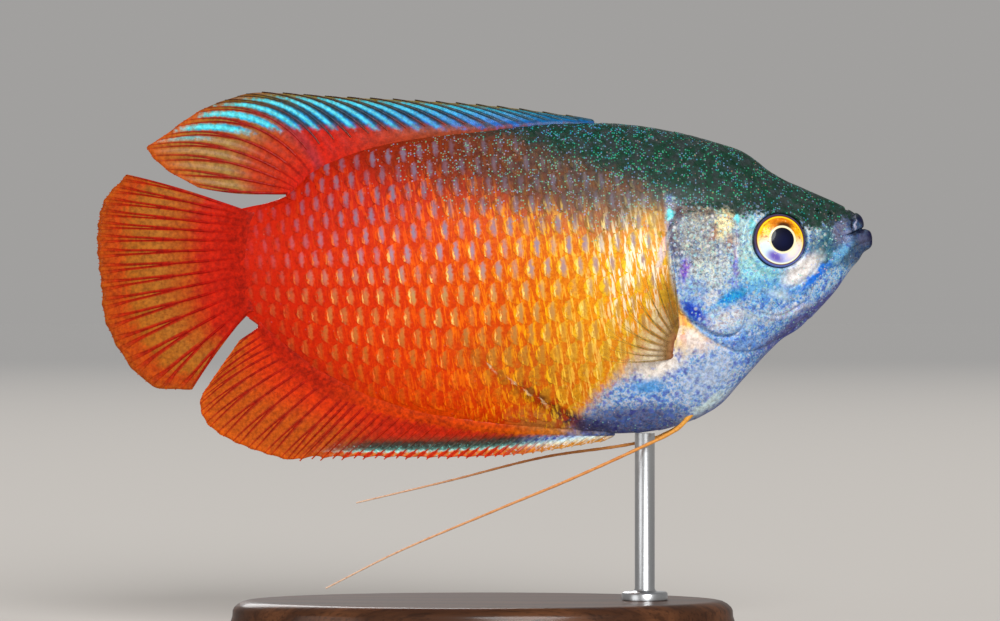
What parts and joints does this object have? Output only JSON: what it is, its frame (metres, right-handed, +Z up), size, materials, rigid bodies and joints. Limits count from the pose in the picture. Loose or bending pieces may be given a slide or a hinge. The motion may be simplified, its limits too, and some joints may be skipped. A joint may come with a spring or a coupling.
{
  "type": "dwarf gourami model",
  "caption": "Still, life-size model of a swimming red dwarf gourami with spread fins and trailing threadlike pelvic fins, held up by a rod on a flat oval display base.",
  "frame": {"origin": "middle of the underside of the stand's base, where the model rests on the table", "axes": "+X along the fish from tail to snout, +Y to the fish's left, +Z up"},
  "size_m": [0.0778, 0.03, 0.0548],
  "materials": {
    "head_skin": "satin, iridescent silver and blue over olive",
    "scaled_skin": "satin, scaled, orange red with grey blue spots",
    "eye": "polished, golden ring round a black pupil",
    "back_fin": "satin, blue streaks on olive brown",
    "anal_fin": "satin, red rays on orange brown",
    "tail_fin": "satin, dark red rays on orange",
    "clear_fin": "satin, part see-through olive brown",
    "feeler": "satin orange tan",
    "base_wood": "oiled dark walnut",
    "rod_steel": "brushed"
  },
  "bodies": {
    "root": {"head": "head_skin", "gill_cover_left": "head_skin", "gill_cover_right": "head_skin", "trunk": "scaled_skin", "tail_stalk": "scaled_skin", "eye_left": "eye", "eye_right": "eye", "dorsal_fin": "back_fin", "anal_fin": "anal_fin", "tail_fin": "tail_fin", "pectoral_fin_left": "clear_fin", "pectoral_fin_right": "clear_fin", "pelvic_feeler_left": "feeler", "pelvic_feeler_right": "feeler", "stand_base": "base_wood", "stand_rod": "rod_steel"}
  },
  "joints": []
}
